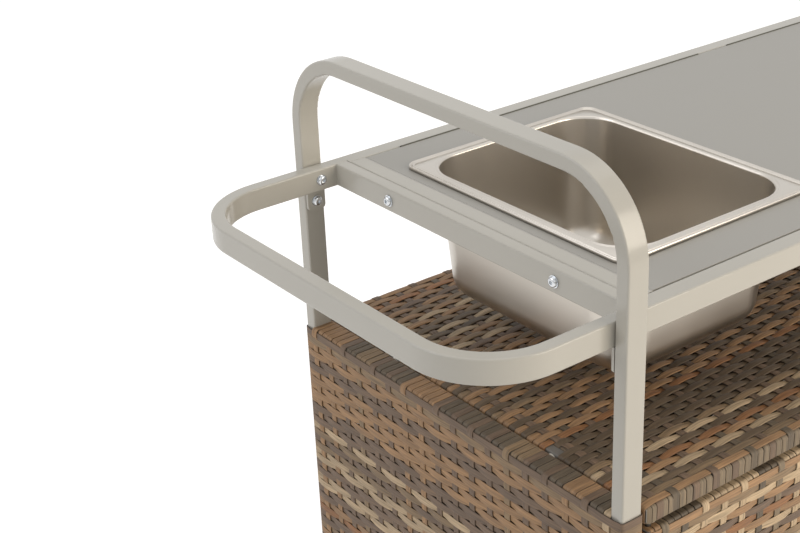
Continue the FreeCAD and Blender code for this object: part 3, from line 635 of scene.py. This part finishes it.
# Widths of frame tubes beside the rows' and the stakes' ends, and the shelf's bolting spots from its back
PANEL_TUBE = (15.0, 15.0)
SHELF_TUBE = (20.0, 20.0)
SHELF_SPOTS = (125.0, 375.0)


class BARCART_OT_end_panels(bpy.types.Operator):
    """Weave both end panels round their legs and rails"""

    bl_idname = "barcart.end_panels"
    bl_label = "Weave the end panels"

    def execute(self, context):
        weave = context.scene.barcart_weave
        for side, out in (("left", (-1, 0, 0)), ("right", (1, 0, 0))):
            node = side + "_end_weave"
            panel = WovenPanel(
                node, out=out, up=(0, 0, 1), tube=PANEL_TUBE, lip=15.0, margin=18.0, wraps_foot=False,
                rows=END_ROWS, stakes=END_STAKES, wraps=END_WRAPS,
                row_pitch=weave.panel_row_pitch, bulge=weave.panel_bulge, pinch=weave.panel_pinch)
            panel.weave(side + "_end", "cart", node)
        return {"FINISHED"}


class BARCART_OT_shelf(bpy.types.Operator):
    """Weave the shelf, which leaves four bolting spots bare"""

    bl_idname = "barcart.shelf"
    bl_label = "Weave the shelf"

    def execute(self, context):
        weave = context.scene.barcart_weave
        panel = WovenPanel(
            "shelf_weave", out=(0, 0, 1), up=(0, -1, 0), tube=SHELF_TUBE, lip=14.0, margin=10.8, set_in=6.0,
            bare=SHELF_SPOTS, rows=SHELF_ROWS, stakes=SHELF_STAKES, wraps=SHELF_WRAPS, section=CROWNED,
            row_pitch=weave.shelf_row_pitch, bulge=weave.shelf_bulge, pinch=weave.shelf_pinch)
        panel.weave("shelf", "cart", "shelf_weave")
        return {"FINISHED"}


class BARCART_OT_doors(bpy.types.Operator):
    """Weave both doors"""

    bl_idname = "barcart.doors"
    bl_label = "Weave the doors"

    def execute(self, context):
        weave = context.scene.barcart_weave
        for door in ("left_door", "right_door"):
            node = door + "_weave"
            panel = WovenPanel(
                node, out=(0, -1, 0), up=(0, 0, 1), tube=PANEL_TUBE, lip=14.0,
                rows=DOOR_ROWS, stakes=DOOR_STAKES, wraps=DOOR_WRAPS, corner="t",
                row_pitch=weave.panel_row_pitch, bulge=weave.panel_bulge, pinch=weave.panel_pinch)
            panel.weave(door, door, node)
        return {"FINISHED"}


class BARCART_OT_back(bpy.types.Operator):
    """Weave the fixed back panel"""

    bl_idname = "barcart.back"
    bl_label = "Weave the back"

    def execute(self, context):
        weave = context.scene.barcart_weave
        # Its rows widen behind a stake too, so that no light comes through
        panel = WovenPanel(
            "back_weave", out=(0, 1, 0), up=(0, 0, 1), tube=PANEL_TUBE, lip=14.0,
            rows=BACK_ROWS, stakes=END_STAKES, wraps=END_WRAPS, section=CROWNED,
            row_pitch=weave.panel_row_pitch, bulge=weave.back_bulge, pinch=-weave.spread)
        panel.weave("back", "cart", "back_weave")
        return {"FINISHED"}


# Ice pan

# In millimetres: its sheet, the flange's width, the radii of the mouth's corners, of the rolled lip and of
# the bend into the floor, the floor's smallest corner, the straight under the lip, and the wall's taper
PAN_STEEL = 1.0
PAN_FLANGE = 11.4
PAN_MOUTH = 47.6
PAN_ROLL = 1.2
PAN_FLOOR_ROUND = 28.0
PAN_FLOOR_CORNER = 6.0
PAN_NECK = 0.4
PAN_TAPER = 12.0

# Where its rings lie: shares of the wall's height, degrees round the lip and the bend, and steps at a corner
WALL_SHARES = (0.0, 0.012, 0.04, 0.3, 0.6, 0.9, 0.97, 1.0)
LIP_DEGREES = (0, 14, 28, 42, 56, 70)
FLOOR_DEGREES = (10, 20, 30, 40, 50, 60, 70, 80, 90)
CORNER_STEPS = 10

# Inset from the flange's outline, height from its top and corner radius: under the flange, and from its
# skirt over its outer bead, the groove and the second bead to the flat and the mouth
PAN_UNDERSIDE = (
    (12.6, -1.6, 46.4), (12.1, -1.4, 46.9), (11.2, -1.4, 47.8), (6.0, -2.9, 12.0),
    (1.6, -2.9, 13.0), (0.9, -3.3, 13.0), (0.9, -4.0, 13.1))
PAN_TOP = (
    (0.0, -4.0, 14.0), (0.0, -1.3, 14.0), (0.3, -0.5, 13.7), (0.8, 0.0, 13.3), (1.4, -0.1, 12.8),
    (1.8, -1.9, 12.5), (2.9, -2.0, 12.0), (3.3, -0.3, 11.8), (3.8, 0.0, 11.6), (4.4, -0.1, 11.4),
    (4.7, -1.6, 11.2), (5.4, -1.7, 11.0), (6.0, -1.4, 10.8), (9.2, -1.0, 49.8), (9.8, -0.9, 49.2),
    (10.3, -0.3, 48.7), (10.9, 0.0, 48.1))


def rounded_outline(half_x, half_y, radius, z):
    """Points round a rounded rectangle."""
    points = []
    for quarter, (sx, sy) in enumerate(((1, 1), (-1, 1), (-1, -1), (1, -1))):
        for step in range(CORNER_STEPS + 1):
            angle = math.radians(90 * (quarter + step / CORNER_STEPS))
            points.append((sx * (half_x - radius) + radius * math.cos(angle),
                           sy * (half_y - radius) + radius * math.sin(angle), z))
    return points


def bowl(depth, steel):
    """Rings of the pan's wall and floor, one steel thickness in or, with none, on its outer side."""
    rings = []
    floor = depth - steel
    bend = PAN_FLOOR_ROUND - steel
    neck = PAN_FLANGE + PAN_ROLL + steel
    for share in WALL_SHARES:
        down = between(PAN_ROLL + PAN_NECK, floor - bend, share)
        drawn_in = PAN_TAPER * down / depth
        rings.append((neck + drawn_in, -down, PAN_MOUTH - PAN_ROLL - steel - drawn_in / 2))
    inset, height, radius = rings[-1]
    for degrees in FLOOR_DEGREES:
        angle = math.radians(degrees)
        drawn_in = bend * (1 - math.cos(angle))
        corner = max(radius - drawn_in, PAN_FLOOR_CORNER)
        rings.append((inset + drawn_in, height - bend * math.sin(angle), corner))
    return rings


def rolled_lip():
    """Rings of the lip that rolls from the flange down into the bowl."""
    roll = PAN_ROLL + PAN_STEEL
    rings = []
    for degrees in LIP_DEGREES:
        angle = math.radians(degrees)
        turned = roll * math.sin(angle)
        rings.append((PAN_FLANGE + turned, roll * (math.cos(angle) - 1), PAN_MOUTH - turned))
    return rings


class BARCART_OT_ice_pan(bpy.types.Operator):
    """Press the ice pan, with its stepped flange and drawn bowl"""

    bl_idname = "barcart.ice_pan"
    bl_label = "Press the ice pan"

    def execute(self, context):
        low, high = box_mm("ice_pan")
        middle = (low + high) / 2
        half = (high - low) / 2
        depth = high[2] - low[2]
        # Round the sheet's section: up its outer side, under and over the flange, and down its inner side
        outer, inner = bowl(depth, 0.0), bowl(depth, PAN_STEEL)
        rings = [*outer[::-1], *PAN_UNDERSIDE, *PAN_TOP, *rolled_lip(), *inner]
        points = []
        for inset, z, radius in rings:
            points += rounded_outline(half[0] - inset, half[1] - inset, radius, high[2] + z)
        points = (np.array(points) + [middle[0], middle[1], 0.0]) * MM
        count = len(points) // len(rings)
        here = np.arange(count)
        there = (here + 1) % count
        faces = [here[::-1].tolist(), (len(points) - count + here).tolist()]
        for start in range(0, len(points) - count, count):
            end = start + count
            faces += np.stack([start + here, start + there, end + there, end + here], axis=1).tolist()
        mesh = bpy.data.meshes.new("ice_pan_sheet")
        mesh.from_pydata(points.tolist(), [], faces)
        mesh.shade_smooth()
        steel = pressed_stainless(context.scene.barcart_finish.stainless)
        add_piece(mesh, steel, "ice_pan", "stainless", "ice_pan")
        return {"FINISHED"}


# Painted steel and the worktop's joints

class BARCART_OT_steelwork(bpy.types.Operator):
    """Paint the hoops, handle, tray, worktop and base"""

    bl_idname = "barcart.steelwork"
    bl_label = "Paint the steelwork"

    def execute(self, context):
        finish = context.scene.barcart_finish
        dress(powder_coat("Powder-coated steel tube", finish.paint, roughness=0.2),
              "left_hoop", "right_hoop", "push_handle", "cross_beam", "post_tabs", "tray_side_rails",
              "tray_end_rails", "base_rails", "base_cross_bars", "corner_plates", "panel_ledges",
              "panel_stiffeners")
        dress(powder_coat(SHEET_PAINT, finish.worktop, roughness=0.42), "worktop_panel", "floor_panel")
        dress(powder_coat("Painted steel under the weave", finish.wrapped, roughness=0.5),
              "end_rails", "shelf_frame", "left_door_frame", "right_door_frame", "back_frame")
        return {"FINISHED"}


# Sections across a joint and up, in millimetres: a dark bead, sealant and painted shade of the joint, which
# swells a little out of the 2 mm joint behind the worktop, and a fill of paint, dished just under the
# surface, at the worktop's left end
BEAD = ((1.0, -4.0), (1.0, 0.3), (0.6, 0.9), (-0.6, 0.9), (-1.0, 0.3), (-1.0, -4.0))
FILL = ((1.6, -0.06), (0.9, -1.2), (0.2, -2.6), (-0.2, -2.6), (-0.9, -1.2), (-1.6, -0.06), (0.0, -0.1))
BACK_JOINT_MIDDLE = 1.0
END_JOINT_MIDDLE = -0.2

# The bead's two runs from the worktop's left end, broken where the photograph shows paint, and its end gap
LEFT_BEAD = (46.0, 514.0)
RIGHT_BEAD_START = 567.0
BEAD_END_GAP = 3.0


def joint_bar(mesh_name, section, start, end):
    """A mesh that runs a section, in millimetres, straight from one place to another."""
    start, end = Vector(start), Vector(end)
    side = Vector((0, 0, 1)).cross(end - start).normalized()
    points = []
    for place in (start, end):
        points += [(place + side * across + Vector((0, 0, up))) * MM for across, up in section]
    count = len(section)
    faces = [[k, (k + 1) % count, count + (k + 1) % count, count + k] for k in range(count)]
    faces += [list(range(count))[::-1], [count + k for k in range(count)]]
    mesh = bpy.data.meshes.new(mesh_name)
    mesh.from_pydata(points, [], faces)
    return mesh


class BARCART_OT_worktop_joints(bpy.types.Operator):
    """Seal the joint behind the worktop with a dark bead that also paints its shade, and fill the one at its
    left end
    """

    bl_idname = "barcart.worktop_joints"
    bl_label = "Seal the worktop"

    def execute(self, context):
        (left, front, _), (right, back, top) = box_mm("worktop_panel")
        finish = context.scene.barcart_finish
        # A dark bead: sealant, and painted shade of the joint behind the worktop
        sealant_and_shade = moulded("Cured silicone bead", finish.sealant_and_shade, roughness=0.5, grain_mm=2.0)
        y = back + BACK_JOINT_MIDDLE
        right_bead = (RIGHT_BEAD_START, right - left - BEAD_END_GAP)
        for side, (start, end) in (("left", LEFT_BEAD), ("right", right_bead)):
            mesh = joint_bar("worktop_seal_" + side, BEAD, (left + start, y, top), (left + end, y, top))
            add_piece(mesh, sealant_and_shade, "cart", "tyre_rubber")
        x = left + END_JOINT_MIDDLE
        mesh = joint_bar("worktop_end_fill", FILL, (x, front, top), (x, back, top))
        add_piece(mesh, bpy.data.materials[SHEET_PAINT], "cart", "worktop_paint")
        return {"FINISHED"}


# Fittings and casters

class BARCART_OT_fittings(bpy.types.Operator):
    """Finish the bolts, spacers, caps, pivots, knobs and straps"""

    bl_idname = "barcart.fittings"
    bl_label = "Finish the fittings"

    def execute(self, context):
        finish = context.scene.barcart_finish
        dress(plated_steel("Bright zinc-plated steel", finish.zinc, roughness=0.2),
              "frame_bolts", "bolt_washers", "left_door_knob", "right_door_knob")
        dress(plated_steel("Dull zinc-plated steel", finish.caster_zinc, roughness=0.38),
              "threaded_inserts", "left_door_strike", "right_door_strike", "back_straps", "strap_screws")
        dress(plated_steel("Phosphated steel", finish.phosphate, roughness=0.5),
              "left_door_pivots", "right_door_pivots")
        dress(moulded("Natural nylon", finish.nylon, roughness=0.45, grain_mm=1.5), "frame_spacers")
        dress(moulded("Moulded polypropylene", finish.plastic, roughness=0.5, grain_mm=1.2),
              "tray_end_caps", "door_bushes", "door_catch")
        return {"FINISHED"}


class BARCART_OT_casters(bpy.types.Operator):
    """Finish the casters"""

    bl_idname = "barcart.casters"
    bl_label = "Finish the casters"

    def execute(self, context):
        finish = context.scene.barcart_finish
        steel = plated_steel("Pressed zinc-plated caster steel", finish.caster_zinc, roughness=0.34)
        rubber = moulded("Grey moulded rubber", finish.rubber, roughness=0.72, grain_mm=1.0)
        hub = moulded("Moulded nylon hub", finish.hub, roughness=0.5, grain_mm=1.4)
        dress(steel, "caster_top_plates", "caster_kingpins", "caster_fasteners")
        for depth in ("front", "back"):
            for end in ("left", "right"):
                corner = depth + "_" + end
                dress(steel, corner + "_fork", corner + "_axle")
                dress(rubber, corner + "_tyre")
                dress(hub, corner + "_hub")
        return {"FINISHED"}


# Stage

# In metres: the floor's half width, and each soft box's name, place, width, power setting and colour
FLOOR_HALF = 6.0
SOFT_BOXES = (
    ("front_soft_box", (0.9, -2.6, 1.6), 1.8, "key", "#FFF4E4"),
    ("top_soft_box", (0.2, 0.3, 3.0), 2.2, "top", "#FFFFFF"),
    ("left_soft_box", (-2.1, 0.9, 2.2), 1.8, "side", "#FAFAFF"))
SOFT_BOX_AIM = (-0.2, 0.0, 0.7)

# The camera, solved from the photograph's straight edges: its place in metres, its turn from +X, its tilt
# down and its roll in degrees, and its focal length in pixels of the photograph
CAMERA_PLACE = (-1.19873, -1.02507, 1.39628)
CAMERA_TURN = 54.106
CAMERA_TILT = 25.624
CAMERA_ROLL = -2.580
FOCAL_PIXELS = 1513.257
PHOTO_WIDTH = 800


def seen_rays(tree):
    """1 for a ray that is seen straight, in a reflection or through something clear, and 0 for light."""
    path = add_node(tree, "ShaderNodeLightPath")
    seen = path.outputs["Is Camera Ray"]
    for ray in ("Is Glossy Ray", "Is Transmission Ray"):
        seen = add_node(tree, "ShaderNodeMath", {"Value": seen, "Value_001": path.outputs[ray]},
                        operation="MAXIMUM")
    return seen


class BARCART_OT_stage(bpy.types.Operator):
    """Set up the floor, the soft studio light and the camera"""

    bl_idname = "barcart.stage"
    bl_label = "Set up the stage"

    def execute(self, context):
        scene = context.scene
        stage = scene.barcart_stage
        scene.view_settings.view_transform = "Standard"
        self.add_floor(scene, stage)
        self.light_world(scene, stage)
        for name, place, size, power, colour in SOFT_BOXES:
            self.add_soft_box(scene, name, place, size, getattr(stage, power), colour)
        self.add_camera(scene)
        return {"FINISHED"}

    def add_floor(self, scene, stage):
        mesh = bpy.data.meshes.new("studio_floor")
        corners = [(sx * FLOOR_HALF, sy * FLOOR_HALF, 0) for sx, sy in ((-1, -1), (1, -1), (1, 1), (-1, 1))]
        mesh.from_pydata(corners, [], [(0, 1, 2, 3)])
        made, tree, shader = new_material("Matt studio paper", {"Roughness": 0.9, "Emission Color": WHITE})
        # Paper fibres show as a faint cloud about 30 mm across
        _, _, tone = clouded(tree, stage.floor, 0.99, 1.01, 30 * MM)
        # A little white of its own, only where it is seen, turns the paper white and leaves the shadow on it
        glow = add_node(tree, "ShaderNodeMath", {"Value": seen_rays(tree), "Value_001": stage.glow},
                        operation="MULTIPLY")
        feed(tree, shader, {"Base Color": tone, "Emission Strength": glow})
        mesh.materials.append(made)
        floor = bpy.data.objects.new("studio_floor", mesh)
        scene.collection.objects.link(floor)

    def light_world(self, scene, stage):
        """White to the camera and in reflections, and an even grey light on everything else."""
        world = bpy.data.worlds.new("White studio")
        world.use_nodes = True
        tree = world.node_tree
        tree.nodes.clear()
        strength = add_node(tree, "ShaderNodeMapRange", {
            "Value": seen_rays(tree), "To Min": stage.ambient, "To Max": 1.0})
        light = add_node(tree, "ShaderNodeBackground", {"Color": WHITE, "Strength": strength})
        add_node(tree, "ShaderNodeOutputWorld", {"Surface": light})
        scene.world = world

    def add_soft_box(self, scene, name, place, size, power, colour):
        lamp = bpy.data.lights.new(name, "AREA")
        lamp.shape = "SQUARE"
        lamp.size = size
        lamp.energy = power
        lamp.color = linear(colour)[:3]
        box = bpy.data.objects.new(name, lamp)
        aim = Vector(SOFT_BOX_AIM) - Vector(place)
        box.matrix_world = Matrix.Translation(place) @ aim.to_track_quat("-Z", "Y").to_matrix().to_4x4()
        scene.collection.objects.link(box)

    def add_camera(self, scene):
        turn, tilt, roll = (math.radians(angle) for angle in (CAMERA_TURN, CAMERA_TILT, CAMERA_ROLL))
        ahead = Vector((math.cos(tilt) * math.cos(turn), math.cos(tilt) * math.sin(turn), -math.sin(tilt)))
        right = ahead.cross(Vector((0, 0, 1))).normalized()
        above = right.cross(ahead)
        rolled_right = right * math.cos(roll) + above * math.sin(roll)
        rolled_above = above * math.cos(roll) - right * math.sin(roll)
        lens = bpy.data.cameras.new("photo_camera")
        lens.lens = FOCAL_PIXELS / PHOTO_WIDTH * lens.sensor_width
        camera = bpy.data.objects.new("photo_camera", lens)
        axes = Matrix((rolled_right, rolled_above, -ahead)).transposed().to_4x4()
        camera.matrix_world = Matrix.Translation(CAMERA_PLACE) @ axes
        scene.collection.objects.link(camera)
        scene.camera = camera


# Add-on

SETTINGS = {
    "barcart_weave": BARCART_PG_weave,
    "barcart_finish": BARCART_PG_finish,
    "barcart_stage": BARCART_PG_stage,
}
OPERATORS = (
    BARCART_OT_stage,
    BARCART_OT_steelwork,
    BARCART_OT_worktop_joints,
    BARCART_OT_ice_pan,
    BARCART_OT_fittings,
    BARCART_OT_end_panels,
    BARCART_OT_shelf,
    BARCART_OT_doors,
    BARCART_OT_back,
    BARCART_OT_casters,
)


class BARCART_PT_panel(bpy.types.Panel):
    """Lists the cart's pieces and their settings"""

    bl_idname = "BARCART_PT_panel"
    bl_label = "Bar cart"
    bl_space_type = "VIEW_3D"
    bl_region_type = "UI"
    bl_category = "Bar cart"

    def draw(self, context):
        for operator in OPERATORS:
            self.layout.operator(operator.bl_idname)
        for group, settings in SETTINGS.items():
            box = self.layout.box()
            for name in settings.__annotations__:
                box.prop(getattr(context.scene, group), name)


def register():
    for made in (*SETTINGS.values(), *OPERATORS, BARCART_PT_panel):
        bpy.utils.register_class(made)
    for name, group in SETTINGS.items():
        setattr(bpy.types.Scene, name, PointerProperty(type=group))


def unregister():
    for name in SETTINGS:
        delattr(bpy.types.Scene, name)
    for made in (BARCART_PT_panel, *reversed(OPERATORS), *reversed(SETTINGS.values())):
        bpy.utils.unregister_class(made)


def main():
    register()
    for operator in OPERATORS:
        family, name = operator.bl_idname.split(".")
        getattr(getattr(bpy.ops, family), name)()


if __name__ == "__main__":
    main()
